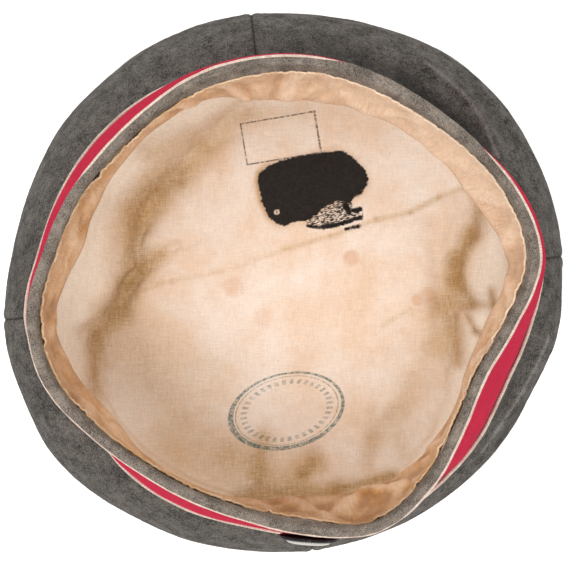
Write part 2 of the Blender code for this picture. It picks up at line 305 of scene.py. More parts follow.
def reach_at(height):
    """How many metres one of the picture's pixels spans at a height."""
    return VIEW_WIDTH / VIEW_DISTANCE / PICTURE * (RIM_HEIGHT + VIEW_DISTANCE - height)


VIEW_OFFSET = tuple((PICTURE / 2 - c) * VIEW_WIDTH / PICTURE for c in CAP_CENTRE)


def under_pixel(x, y, height):
    """The point at a height that the picture shows at this pixel."""
    right = (x - PICTURE / 2) * reach_at(height) + VIEW_OFFSET[0]
    up = (PICTURE / 2 - y) * reach_at(height) - VIEW_OFFSET[1]
    cos, sin = math.cos(VIEW_TURN), math.sin(VIEW_TURN)
    return Vector((right * cos + up * sin, up * cos - right * sin, height))


def seen_at(points):
    """The pixels at which the picture shows these points."""
    cos, sin = math.cos(VIEW_TURN), math.sin(VIEW_TURN)
    x, y, z = points[..., 0], points[..., 1], points[..., 2]
    right = x * cos - y * sin - VIEW_OFFSET[0]
    up = y * cos + x * sin + VIEW_OFFSET[1]
    return right / reach_at(z) + PICTURE / 2, PICTURE / 2 - up / reach_at(z)


def to_stroke(px, py, x0, y0, x1, y1):
    """Distance from points to a straight stroke, and the share along it."""
    dx, dy = x1 - x0, y1 - y0
    share = np.clip(((px - x0) * dx + (py - y0) * dy) / (dx * dx + dy * dy + 1e-9), 0.0, 1.0)
    return np.hypot(px - x0 - share * dx, py - y0 - share * dy), share


def to_outline(px, py, corners):
    """Distance from points to a closed outline, negative inside it."""
    nearest = np.full(px.shape, 1e9)
    odd = np.zeros(px.shape, bool)
    for a, b in zip(corners, corners[1:] + corners[:1]):
        nearest = np.minimum(nearest, to_stroke(px, py, *a, *b)[0])
        crosses = (a.y > py) != (b.y > py)
        odd ^= crosses & (px < a.x + (py - a.y) * (b.x - a.x) / (b.y - a.y + 1e-12))
    return np.where(odd, -nearest, nearest)


# Materials

def linear(code):
    """An sRGB hex colour as linear RGBA."""
    parts = [int(code[i:i + 2], 16) / 255 for i in (1, 3, 5)]
    return tuple(p / 12.92 if p <= 0.04045 else ((p + 0.055) / 1.055) ** 2.4 for p in parts) + (1.0,)


def add(material, kind, inputs=(), out=0, **settings):
    """Adds a node with its settings to a material and gives one of its outputs.

    Its inputs, by name or in order, are values, hex colours or the sockets that they come from.
    """
    tree = material.node_tree
    node = tree.nodes.new("ShaderNode" + kind)
    for key, value in settings.items():
        setattr(node, key, value)
    for key, value in inputs.items() if isinstance(inputs, dict) else enumerate(inputs):
        if isinstance(value, bpy.types.NodeSocket):
            tree.links.new(value, node.inputs[key])
        else:
            node.inputs[key].default_value = linear(value) if isinstance(value, str) else value
    return node.outputs[out]


def new_material(name, roughness, gloss=0.1, sheen=0.0, nap="#ffffff"):
    """A material whose shader has its constants set."""
    material = bpy.data.materials.new(name)
    material.use_nodes = True
    shader = material.node_tree.nodes["Principled BSDF"].inputs
    shader["Roughness"].default_value = roughness
    shader["Specular IOR Level"].default_value = gloss
    shader["Sheen Weight"].default_value = sheen
    shader["Sheen Roughness"].default_value = 0.5
    shader["Sheen Tint"].default_value = linear(nap)
    return material


def dressed(material, colour, relief):
    """Gives a material's shader its colour and its relief."""
    shader = material.node_tree.nodes["Principled BSDF"].inputs
    material.node_tree.links.new(colour, shader["Base Color"])
    material.node_tree.links.new(relief, shader["Normal"])
    return material


# A Mix node for colours: input 0 is the share of input 7 over input 6
COLOURS = {"out": 2, "data_type": "RGBA"}
SOFTLY = {"interpolation_type": "SMOOTHSTEP"}
LEVEL = (0, 0, 0)

# One pixel of the picture spans 0.4 mm, so finer fibres and threads are drawn coarser than real
FIBRE = 0.3 * MM                 # a wool fibre's thickness, in truth 0.03 mm
FIBRE_RUN = 2.6 * MM             # how far a fibre lies straight before it dives under others
FIBRE_GRAIN = 0.45 * MM          # light and dark among the fibres, in truth as fine as they are
WOOL_CLOUD = 7 * MM              # patches of uneven dye
CORD_THREAD = 0.5 * MM           # the piping's threads, in truth 0.25 mm
COTTON_THREAD = 0.9 * MM         # the cotton's thicker threads, in truth 0.2 mm
COTTON_GRAIN = 0.7 * MM          # its fine weave, in truth 0.2 mm
COTTON_WRINKLE = 2.4 * MM        # width of its small wrinkles
LINEN_THREAD = 0.45 * MM         # the linen's thread spacing
WARP_RUN = 4.5 * MM              # how far a thread of the warp keeps its thickness
WEFT_RUN = 5.0 * MM              # and one of the weft
LINEN_NUB = 0.6 * MM             # thick places in its threads
SPECK_CELL = 4 * MM              # there is at most one brown speck in each such cell
BRISTLE = 0.42 * MM              # width of a bristle's stroke where the brush ran dry
BRUSH_TURN = math.radians(12)    # how far that stroke slants in the picture


def streaks(material, place, sizes, turn=LEVEL, shift=LEVEL, **noise):
    """Noise drawn out into threads, fibres or ribs of these sizes."""
    place = add(material, "Mapping", (place, shift, turn, [1 / size for size in sizes]))
    return add(material, "TexNoise", {"Vector": place, "Scale": 1, **noise})


def milled_wool(name, dark, light, hair, tuft=1.3 * MM, contrast=1.0, sheen=0.1, coarse=1.0, gloss=0.1,
                nap=None):
    """Wool, woven and then milled until it felted.

    The eye gets no weave, but a matte felt of tangled fibres, darker and lighter ones mixed, with a soft
    nap that is pale along rubbed folds, shade painted dark into the valleys of the folds, and dark seams.
    """
    wool = new_material(name, 0.95, gloss, sheen, nap or light)
    place = add(wool, "TexCoord", out="Object")
    tufts, clouds, grains = (
        add(wool, "TexNoise", {"Vector": place, "Scale": 1 / size, "Detail": detail, "Roughness": rough,
                               "Distortion": bend})
        for size, detail, rough, bend in ((tuft, 5, 0.8, 1.2), (WOOL_CLOUD, 3, 0.55, 0),
                                          (FIBRE_GRAIN * coarse, 2, 0.6, 0)))
    hairs = 0.0
    for turn, seed in ((0.4, 1), (1.5, 4), (2.6, 7)):
        strand = streaks(wool, place, (FIBRE * coarse, FIBRE_RUN, 0.5 * MM), (0.5 * turn, 0.4, turn),
                         (seed, seed, seed), Detail=2, Roughness=0.6, Distortion=1.4)
        hairs = add(wool, "Math", (hairs, strand), operation="MAXIMUM")
    hairs = add(wool, "MapRange", (hairs, 0.56, 0.78), **SOFTLY)
    mottle = add(wool, "Math", (clouds, 0.35), operation="MULTIPLY")
    mottle = add(wool, "Math", (grains, 0.6, mottle), operation="MULTIPLY_ADD")
    mottle = add(wool, "Math", (tufts, 0.75, mottle), operation="MULTIPLY_ADD")
    tone = add(wool, "MapRange", (mottle, 0.85 - 0.15 / contrast, 0.85 + 0.17 / contrast))
    patchy = add(wool, "MapRange", (mottle, 0.7, 1.0, 0.2, 0.75))
    worn, shade = (add(wool, "Attribute", out="Fac", attribute_name=mark) for mark in ("worn", "shade"))
    felt = add(wool, "Mix", {0: tone, 6: dark, 7: light}, **COLOURS)
    # The shade mark is painted shade in the valleys of folds, and darkens the seams
    for amount, share, colour in ((hairs, 0.5, hair), (worn, patchy, hair), (shade, 0.75, dark)):
        share = add(wool, "Math", (amount, share), operation="MULTIPLY")
        felt = add(wool, "Mix", {0: share, 6: felt, 7: colour}, **COLOURS)
    relief = add(wool, "Math", (mottle, 2, hairs), operation="MULTIPLY_ADD")
    relief = add(wool, "Bump", {"Height": relief, "Strength": 0.8, "Distance": 0.45 * MM})
    return dressed(wool, felt, relief)


def wool_cord(name):
    """A strip of cream wool folded over a cord.

    The eye gets fine slanted ribs, greyed and pinkish where they have rubbed against the red wool.
    """
    cord = new_material(name, 0.9, sheen=0.1)
    place = add(cord, "TexCoord", out="Object")
    weave = add(cord, "UVMap", uv_map="weave")
    ribs = streaks(cord, weave, (CORD_THREAD, 2 * MM, 1), (0, 0, 0.5), Detail=2, Roughness=0.55)
    tone = add(cord, "MapRange", (ribs, 0.35, 0.65))
    strip = add(cord, "Mix", {0: tone, 6: "#c4ae9e", 7: "#ead9ca"}, **COLOURS)
    worn = add(cord, "TexNoise", {"Vector": place, "Scale": 1 / (6 * MM), "Detail": 5, "Roughness": 0.7})
    worn = add(cord, "MapRange", (worn, 0.45, 0.75, 0, 0.8))
    strip = add(cord, "Mix", {0: worn, 6: strip, 7: "#b38f84"}, **COLOURS)
    relief = add(cord, "Bump", {"Height": ribs, "Strength": 0.5, "Distance": 0.2 * MM})
    return dressed(cord, strip, relief)


def thin_cotton(name):
    """Polished cotton, plain-woven, tan and worn thin.

    The eye gets a fine uneven weave with small wrinkles and a faint gloss, brown with sweat near its seam,
    with painted shade in its hollows and painted light on its heights and on the side towards the lamps.
    """
    cotton = new_material(name, 0.6, sheen=0.1)
    place = add(cotton, "TexCoord", out="Object")
    weave = add(cotton, "UVMap", uv_map="weave")
    stain = add(cotton, "TexNoise", {"Vector": place, "Scale": 1 / (13 * MM), "Detail": 5, "Roughness": 0.6,
                                     "Distortion": 0.6})
    slubs = streaks(cotton, weave, (COTTON_THREAD, 7 * MM, 1), Detail=3, Roughness=0.55)
    fine = add(cotton, "TexNoise", {"Vector": place, "Scale": 1 / COTTON_GRAIN, "Detail": 2,
                                    "Roughness": 0.55})
    threads = add(cotton, "Math", (slubs, fine), operation="ADD")
    wrinkles = streaks(cotton, weave, (COTTON_WRINKLE, 9 * MM, 1), (0, 0, 0.5), Detail=4, Roughness=0.6,
                       Distortion=1.5)
    stain = add(cotton, "MapRange", (stain, 0.38, 0.66))
    cloth = add(cotton, "Mix", {0: stain, 6: "#f0cba4", 7: "#d39b60"}, **COLOURS)
    # The pale mark is painted light, and the brown one sweat together with painted shade
    for mark, colour in (("pale", "#ffe2c6"), ("soil", "#95622f"), ("hem", "#f0d9bb")):
        share = add(cotton, "Attribute", out="Fac", attribute_name=mark)
        cloth = add(cotton, "Mix", {0: share, 6: cloth, 7: colour}, **COLOURS)
    light = add(cotton, "Math", (threads, wrinkles), operation="ADD")
    light = add(cotton, "MapRange", (light, 1.1, 1.9, 0.97, 1.13))
    cloth = add(cotton, "VectorMath", {0: cloth, "Scale": light}, operation="SCALE")
    relief = add(cotton, "Math", (wrinkles, 4, threads), operation="MULTIPLY_ADD")
    relief = add(cotton, "Bump", {"Height": relief, "Strength": 0.7, "Distance": 0.5 * MM})
    return dressed(cotton, cloth, relief)


# Marks on the lining: middles and half sizes in the picture's pixels, tilts in degrees
OVAL, RULED_BOX = table("x y half_width half_height tilt", (286.8, 410.6, 57.2, 36.6, 13.5),
                        (280.8, 138.2, 37.4, 20.6, 9.5))
OVAL_BARS = 36
FLOOR_HEIGHT = 6 * MM


def across_and_up(material, place, form):
    """How far across and up from a form's middle a place lies, in millimetres."""
    middle = under_pixel(form.x, form.y, FLOOR_HEIGHT)
    angle = VIEW_TURN - math.radians(form.tilt)
    cos, sin = math.cos(angle), math.sin(angle)
    shift = (-(middle.x * cos - middle.y * sin) / MM, -(middle.x * sin + middle.y * cos) / MM, 0)
    turned = add(material, "Mapping", (place, shift, (0, 0, angle), (1 / MM, 1 / MM, 0)))
    across = add(material, "SeparateXYZ", (turned,))
    return across, across.node.outputs[1]


def ruled_box(linen, place):
    """How strongly the empty ruled frame covers the linen. Its lines are heavier on the right."""
    pixel = reach_at(FLOOR_HEIGHT) / MM
    across, up = across_and_up(linen, place, RULED_BOX)
    sides = []
    for away, half in ((across, RULED_BOX.half_width), (up, RULED_BOX.half_height)):
        away = add(linen, "Math", (away,), operation="ABSOLUTE")
        sides.append(add(linen, "Math", (away, half * pixel), operation="SUBTRACT"))
    line = add(linen, "Math", sides, operation="MAXIMUM")
    line = add(linen, "Math", (line,), operation="ABSOLUTE")
    heavy = add(linen, "MapRange", (across, 12, 15.5, 0.3, 0.48))
    line = add(linen, "Math", (line, heavy), operation="DIVIDE")
    line = add(linen, "MapRange", (line, 0.7, 1.3, 0.85, 0), **SOFTLY)
    faint = add(linen, "TexNoise", {"Vector": place, "Scale": 1 / MM, "Detail": 3, "Roughness": 0.55})
    faint = add(linen, "MapRange", (faint, 0.4, 0.56, 0.25, 1))
    return add(linen, "Math", (line, faint), operation="MULTIPLY")


def oval_ring(linen, place):
    """How strongly the oval covers the linen: a broad line, a thin one and a ring of plain bars."""
    pixel = reach_at(FLOOR_HEIGHT) / MM
    across, up = across_and_up(linen, place, OVAL)
    out = add(linen, "CombineXYZ", [
        add(linen, "Math", (away, half * pixel), operation="DIVIDE")
        for away, half in ((across, OVAL.half_width), (up, OVAL.half_height))])
    out = add(linen, "VectorMath", (out,), "Value", operation="LENGTH")
    inwards = add(linen, "Math", (1, out), operation="SUBTRACT")
    inwards = add(linen, "Math", (inwards, OVAL.half_height * pixel), operation="MULTIPLY")
    outer = add(linen, "Math", (inwards,), operation="ABSOLUTE")
    broad = add(linen, "Math", (across, 0.5, up), operation="MULTIPLY_ADD")
    broad = add(linen, "MapRange", (broad, -14, 12, 0.8, 0.42))
    outer = add(linen, "Math", (outer, broad), operation="DIVIDE")
    outer = add(linen, "MapRange", (outer, 0.75, 1.25, 0.85, 0), **SOFTLY)
    inner = add(linen, "Math", (inwards, 1.35), operation="SUBTRACT")
    inner = add(linen, "Math", (inner,), operation="ABSOLUTE")
    inner = add(linen, "MapRange", (inner, 0.1, 0.24, 0.6, 0), **SOFTLY)
    turn = add(linen, "Math", (up, OVAL.half_width / OVAL.half_height), operation="MULTIPLY")
    turn = add(linen, "Math", (turn, across), operation="ARCTAN2")
    beat = add(linen, "Math", (turn, OVAL_BARS / TURN), operation="MULTIPLY")
    beat = add(linen, "Math", (beat, 0.5), operation="PINGPONG")
    beat = add(linen, "MapRange", (beat, 0.22, 0.3))
    bars = add(linen, "Math", (inwards, 3.6), operation="SUBTRACT")
    bars = add(linen, "Math", (bars,), operation="ABSOLUTE")
    bars = add(linen, "MapRange", (bars, 0.75, 1, 0.55, 0))
    bars = add(linen, "Math", (bars, beat), operation="MULTIPLY")
    printed = add(linen, "Math", (outer, inner), operation="MAXIMUM")
    printed = add(linen, "Math", (printed, bars), operation="MAXIMUM")
    faint = add(linen, "TexNoise", {"Vector": place, "Scale": 1 / (1.1 * MM), "Detail": 4, "Roughness": 0.7})
    faint = add(linen, "MapRange", (faint, 0.36, 0.58, 0.2, 1))
    return add(linen, "Math", (printed, faint), operation="MULTIPLY")


def plain_linen(name):
    """Linen, plain-woven, unbleached and old.

    The eye gets uneven threads both ways, brown with soil and painted shade where the cloth has lain folded,
    painted light up its wall, and foxing, specks and spilt ink soaked into it.
    """
    linen = new_material(name, 0.88, sheen=0.05)
    place = add(linen, "TexCoord", out="Object")
    straight = add(linen, "Mapping", (place, LEVEL, (0, 0, VIEW_TURN)))
    brushed = add(linen, "Mapping", (place, LEVEL, (0, 0, VIEW_TURN - BRUSH_TURN)))
    warp = streaks(linen, straight, (LINEN_THREAD, WARP_RUN, WARP_RUN), Detail=3, Roughness=0.6)
    weft = streaks(linen, straight, (WEFT_RUN, LINEN_THREAD, WEFT_RUN), shift=(5, 5, 5), Detail=3,
                   Roughness=0.6)
    bristles = streaks(linen, brushed, (1.6 * MM, BRISTLE, 0.6 * MM), Detail=3, Roughness=0.6)
    nubs, aged, blotches, ragged = (
        add(linen, "TexNoise", {"Vector": place, "Scale": 1 / size, "Detail": detail, "Roughness": rough})
        for size, detail, rough in ((LINEN_NUB, 3, 0.7), (22 * MM, 5, 0.65), (4 * MM, 5, 0.75),
                                    (1.6 * MM, 4, 0.7)))
    clean, soil, spots, halo, ink, dry = (
        add(linen, "Attribute", out="Fac", attribute_name=mark)
        for mark in ("clean", "soil", "spots", "halo", "ink", "dry_ink"))
    threads = add(linen, "Math", (warp, weft), operation="ADD")
    threads = add(linen, "Math", (threads, nubs), operation="ADD")

    # Brown in the folds, deepest in their middles and between the threads: soil together with painted shade
    sunk = add(linen, "MapRange", (threads, 1.1, 1.9, 0.62, 0.28))
    patchy = add(linen, "MapRange", (blotches, 0.3, 0.7, 0.3, 0.45))
    patchy = add(linen, "Math", (patchy, sunk), operation="ADD")
    soil = add(linen, "Math", (soil, patchy), operation="MULTIPLY", use_clamp=True)
    brown = add(linen, "Math", (soil, 0.92), operation="MULTIPLY")
    deep = add(linen, "MapRange", (soil, 0.5, 1, 0, 0.5))

    # Foxing, and specks of husk in some of the cells
    tinge = add(linen, "Math", (blotches, nubs), operation="ADD")
    tinge = add(linen, "MapRange", (tinge, 0.75, 1.2, 0.45, 1))
    tinge = add(linen, "Math", (spots, tinge), operation="MULTIPLY")
    speck = add(linen, "TexVoronoi", {"Vector": place, "Scale": 1 / SPECK_CELL, "Randomness": 1}, "Distance")
    chance = add(linen, "SeparateColor", (speck.node.outputs["Color"],))
    dark = add(linen, "MapRange", (chance.node.outputs[1], 0, 1, 0.2, 0.85))
    rare = add(linen, "Math", (chance, 0.7), operation="GREATER_THAN")
    speck = add(linen, "MapRange", (speck, 0.03, 0.07, 1, 0))
    for share in (rare, dark):
        speck = add(linen, "Math", (speck, share), operation="MULTIPLY")

    aged = add(linen, "MapRange", (aged, 0.36, 0.66))
    cloth = add(linen, "Mix", {0: aged, 6: "#eee1d5", 7: "#e6ccb4"}, **COLOURS)
    # The first mix paints light onto the wall, paler the higher it climbs; the brown ones are soil and
    # painted shade
    for share, colour in ((clean, "#fdf1e2"), (brown, "#b58a42"), (deep, "#845f28"), (tinge, "#cf9468"),
                          (speck, "#6b4a2c")):
        cloth = add(linen, "Mix", {0: share, 6: cloth, 7: colour}, **COLOURS)
    light = add(linen, "MapRange", (threads, 1.15, 1.85, 0.88, 1.08))
    cloth = add(linen, "VectorMath", {0: cloth, "Scale": light}, operation="SCALE")

    # The spilt ink, ragged at its edge, with a brown halo, and streaked where the brush ran dry
    fray = add(linen, "MapRange", (ragged, 0.3, 0.7, -0.45, 0.45))
    ink = add(linen, "Math", (ink, fray), operation="ADD")
    ink = add(linen, "MapRange", (ink, -0.35, 0.45, 0.985, 0), **SOFTLY)
    bristles = add(linen, "MapRange", (bristles, 0.44, 0.54), **SOFTLY)
    dry = add(linen, "MapRange", (dry, -0.3, 0.5, 0.96, 0), **SOFTLY)
    dry = add(linen, "Math", (dry, bristles), operation="MULTIPLY")
    black = add(linen, "Math", (ragged, nubs), operation="ADD")
    black = add(linen, "MapRange", (black, 0.8, 1.3))
    black = add(linen, "Mix", {0: black, 6: "#121111", 7: "#262322"}, **COLOURS)
    for share, colour in ((halo, "#b98a50"), (ink, black), (dry, black), (ruled_box(linen, place), "#4a3a34"),
                          (oval_ring(linen, place), "#3d6564")):
        cloth = add(linen, "Mix", {0: share, 6: cloth, 7: colour}, **COLOURS)
    relief = add(linen, "Bump", {"Height": threads, "Strength": 0.4, "Distance": 0.3 * MM})
    return dressed(linen, cloth, relief)


def enamel(name, colour, roughness):
    """Enamel fired on pressed sheet metal. The eye gets a dulled gloss with small grey chips."""
    metal = new_material(name, roughness)
    place = add(metal, "TexCoord", out="Object")
    wear = add(metal, "TexNoise", {"Vector": place, "Scale": 1 / (1.2 * MM), "Detail": 5, "Roughness": 0.55})
    chips = add(metal, "MapRange", (wear, 0.6, 0.72, 0, 0.6))
    coat = add(metal, "Mix", {0: chips, 6: colour, 7: "#77706a"}, **COLOURS)
    relief = add(metal, "Bump", {"Height": wear, "Strength": 0.2, "Distance": 0.1 * MM})
    return dressed(metal, coat, relief)


grey_wool = milled_wool("grey_milled_wool", "#282725", "#827c75", "#a8a59f", 1.7 * MM, 1.2)
edge_wool = milled_wool("grey_milled_wool_edge", "#433c36", "#b9aa9c", "#d3c6b8", 0.7 * MM, 1.1, 0.04, 0.8)
red_wool = milled_wool("crimson_milled_wool", "#ba0631", "#e01245", "#ee4a6e", contrast=0.6, sheen=0.2,
                       gloss=0.0, nap="#f5b4bd")
cream_cord = wool_cord("cream_wool_cord")
tan_cotton = thin_cotton("tan_cotton")
cream_linen = plain_linen("cream_linen")
black_enamel = enamel("black_enamel", "#1b1a1a", 0.35)
white_enamel = enamel("white_enamel", "#c9c4bb", 0.4)


# Creases and folds: ends in the picture's pixels, half width in pixels, how far they sink in
# millimetres, or rise where negative, and how brown they are from 0 to 1, which on the lining is soil
# together with painted shade and on the crown painted shade alone
CREASE = "x0 y0 x1 y1 width depth soil"


# Crown

def crown_points(theta, share, table):
    radius, height = laid(table, theta.ravel(), share.ravel())
    return upright(radius, height, theta)


# On the crown the brown column is painted shade: in the valleys, deepest near the band at the top right, and
# in broad strips down the left and the right
CROWN_FOLDS = table(
    CREASE,
    (425, 62, 444, 76, 6, -1.6, 0), (444, 76, 462, 92, 6, -2.2, 0), (462, 92, 474, 106, 6, -2.4, 0),
    (474, 106, 483, 121, 6, -2.4, 0), (483, 121, 491, 140, 6, -2.4, 0), (491, 140, 499, 158, 5, -2, 0),
    (325, 50, 400, 80, 15, 1.2, 0.7), (400, 80, 452, 122, 15, 1.8, 0.95),
    (452, 122, 478, 150, 14, 1.8, 0.95), (490, 168, 522, 204, 13, 0.8, 0.5),
    (470, 80, 510, 140, 9, 0.6, 0.3), (250, 45, 330, 50, 12, 0.4, 0.3), (549, 338, 538, 363, 5, -1.2, 0),
    (538, 363, 520, 396, 5, -1.3, 0), (520, 396, 503, 422, 5, -1.3, 0), (503, 422, 482, 452, 5, -1.2, 0),
    (528, 352, 512, 382, 8, 1.2, 0.35), (512, 382, 494, 414, 7, 1.3, 0.35),
    (552, 356, 527, 402, 3, 0.5, 0.4), (527, 402, 497, 445, 3, 0.5, 0.4), (25, 250, 40, 390, 22, 0, 0.3),
    (550, 170, 555, 300, 22, 0, 0.25), (118, 74, 78, 118, 14, 0.8, 0), (60, 200, 28, 260, 14, 0.7, 0),
    (40, 400, 90, 470, 14, 0.8, 0), (330, 22, 372, 34, 12, 0.9, 0),
)


FOLDS_START, FOLDS_FULL = 14 * MM, 34 * MM   # the heights over which the folds fade in
SEAM_WIDTH = 0.5 * MM


def folded(points):
    """How far folds rise or sink at these points in millimetres, how pale their crests are rubbed, and how
    much shade is painted into their valleys.
    """
    px, py = seen_at(points)
    above = smooth(FOLDS_START, FOLDS_FULL, points[..., 2])
    crest, valley, worn, shade = (np.zeros(px.shape) for _ in range(4))
    for crease in CROWN_FOLDS:
        away = to_stroke(px, py, crease.x0, crease.y0, crease.x1, crease.y1)[0]
        if crease.depth < 0:
            crest = np.maximum(crest, -crease.depth * bell(away, crease.width))
            worn = np.maximum(worn, bell(away, 0.3 * crease.width))
        else:
            valley = np.maximum(valley, crease.depth * bell(away, crease.width))
            shade = np.maximum(shade, crease.soil * bell(away, crease.width))
    return (crest - valley) * above, worn * above, shade * above


def fold_marks(points):
    """Wool is rubbed pale along the crests of its folds; shade is painted into the valleys, and the seams are
    dark.
    """
    worn, shade = folded(points)[1:]
    seam = bell(np.minimum(np.abs(points[..., 0]), np.abs(points[..., 1])), SEAM_WIDTH)
    return {"worn": worn, "shade": np.maximum(shade * (1 - worn), 0.8 * seam)}


def soft_crown(points, amount):
    """Slow unevenness of cloth that has lain about."""
    swell = 0.5 * lumps(points, 30 * MM, 3.0) + 0.2 * lumps(points, 12 * MM, 8.0)
    nap = 0.12 * MM * lumps(points, 2.2 * MM, 4.0)
    return points + outward(points) * ((swell + folded(points)[0]) * MM * amount + nap)[..., None]


def panel_place(quarter):
    """A crown panel whose edges dip in at the seams and puff up beside them."""
    def place(theta, share):
        amount = smooth(0, 0.15, share) * smooth(1, 0.85, share)
        points = soft_crown(crown_points(theta, share, panel_skin), amount)
        radius = np.hypot(points[..., 0], points[..., 1])
        edge = np.minimum(theta - quarter * TURN / 4, (quarter + 1) * TURN / 4 - theta) * radius
        dip = 0.45 * MM * bell(edge, 0.55 * MM) - 0.3 * MM * bell(edge - 2.6 * MM, 1.6 * MM)
        dip = dip * smooth(1.0, 0.94, share)
        return points - outward(points) * dip[..., None]
    return place


def make_crown():
    spread = np.sin(np.linspace(-np.pi / 2, np.pi / 2, 261)) * 0.5 + 0.5
    for quarter, side in enumerate(PANELS):
        even = np.linspace(0, 1, 261)
        theta = (quarter + even * 0.6 + spread * 0.4) * TURN / 4
        bent_cloth("crown_cloth_" + side, grey_wool, theta, np.linspace(0, 1, 95),
                   panel_place(quarter), (175 * MM, 70 * MM), marks=fold_marks, thickness=WOOL,
                   replaces=("crown_panel_" + side,))

    def top_place(theta, share):
        """Flat on the ground from the middle out, then up the roll to the seam."""
        flat = 0.7
        points = crown_points(theta, np.clip((share - flat) / (1 - flat), 0.0, 1.0), top_skin)
        points[..., :2] *= np.minimum(share / flat, 1.0)[..., None]
        points[..., 2] = np.where(share < flat, 0.0, np.maximum(points[..., 2], 0.0))
        return points

    bent_cloth("crown_cloth_top", grey_wool, np.linspace(0, TURN, 361), np.linspace(0, 1, 61),
               top_place, (600 * MM, 115 * MM), thickness=WOOL, replaces=("crown_top",))


# Band and pipings

# How far the band bulges out between its pipings, by direction in degrees, in millimetres
BULGES = table(
    "angle out",
    (0, 2), (158, 2), (172, 1.2), (181, 0), (209, 0), (219, 1.2), (232, 2), (248, 2), (260, 0.9), (277, 0.8),
    (285, 0), (302, 0), (311, 2),
)


def make_band():
    def place(theta, share):
        low = around(waist_line, theta.ravel()) - (0.75 * CORNER, 0.4 * CORNER)
        high = around(rim_line, theta.ravel()) - (-0.3 * MM, 0.9 * MM)
        bulge = by_direction(BULGES, theta.ravel(), "out") * MM
        radius = low[:, 0] + (high[:, 0] - low[:, 0]) * share + bulge * np.sin(np.pi * share)
        height = low[:, 1] + (high[:, 1] - low[:, 1]) * share
        points = upright(radius, height + 0.0 * radius, theta)
        return points + outward(points) * (0.3 * MM * lumps(points, 14 * MM, 5.0))[..., None]

    bent_cloth("band_cloth", red_wool, np.linspace(0, TURN, 721), np.linspace(0, 1, 49),
               place, (600 * MM, 40 * MM), thickness=WOOL, replaces=("band",))


def make_piping(name, line, node):
    def place(theta, share):
        middle = around(line, theta.ravel())
        points = upright(middle[:, 0] + 0.0 * share, middle[:, 1] + 0.0 * share, theta)
        wobble = 0.12 * MM * lumps(points, 5 * MM, 2.0)
        turn = -share * TURN
        radius = middle[:, 0] + wobble + PIPING * np.cos(turn)
        height = middle[:, 1] + wobble + PIPING * np.sin(turn)
        return upright(radius, height, theta)

    bent_cloth(name, cream_cord, np.linspace(0, TURN, 901), np.linspace(0, 1, 13),
               place, (600 * MM, 4.5 * MM), replaces=(node,))


# Turned-in edge, sweatband and stitches

# How far the turned-in edge hides the piping under it, by direction in degrees, from 0 to 1
TUCKS = table(
    "angle share",
    (0, 0), (22, 0.1), (31, 1), (66, 1), (74, 0.2), (86, 0), (140, 0), (149, 0.9), (178, 0.9), (187, 0.5),
    (200, 0.5), (240, 0.4), (270, 0.4), (284, 0.5), (290, 0.45), (297, 0.1), (320, 0), (345, 0),
)

# The rolled edge, from beside the piping's middle over the top and down inside, in millimetres in
# radius and height, and how far it moves out where it hides the piping
ROLLS = table(
    "run rise out",
    (-0.9, -0.6, 1.4), (-0.35, 0.3, 1.35), (-0.75, 1.05, 1.1), (-1.6, 1.45, 0.6), (-2.6, 1.3, 0.2),
    (-3.4, 0.6, 0), (-3.9, -0.5, 0),
)

# The sweatband's sewn edge: direction in degrees, and how far inside the rim piping it lies, in millimetres
SEWN = table(
    "angle run",
    (0, 5.9), (15, 4.9), (30, 4.2), (45, 5.2), (60, 5.7), (75, 5.6), (90, 6.4), (105, 6.3), (120, 5.5),
    (135, 5.3), (150, 4), (165, 4.4), (180, 4.8), (195, 5.4), (210, 4.8), (240, 5), (255, 5.2), (270, 6.2),
    (285, 4.2), (300, 5.4), (330, 5), (345, 5.4),
)
SEWN_DROP = 3.9 * MM             # from the rim piping's middle down to the sewn edge
ROLL_SHARE = 0.6                 # share of the turned-in cloth's width that is its roll
FACING_DROP = 6.4 * MM           # how far it then goes down
FACING_GAP = 0.6 * MM            # between it and the sweatband's face
SWEAT_ROWS = np.linspace(0, 1, 33) ** 0.8    # closer together near the sewn edge

# Where the sweatband's seam has opened: direction and half width in degrees, and how far it has sunk
SEAM_GAPS = table(
    "angle spread depth",
    (142, 1.3, 1.7), (182, 0.9, 1.2), (186, 1, 1.6), (260, 0.9, 1.3), (286, 1.2, 1.6), (298, 1, 1.6),
    (308, 0.9, 1.5), (353, 1.2, 1.6), (205, 1.8, 0.8),
)

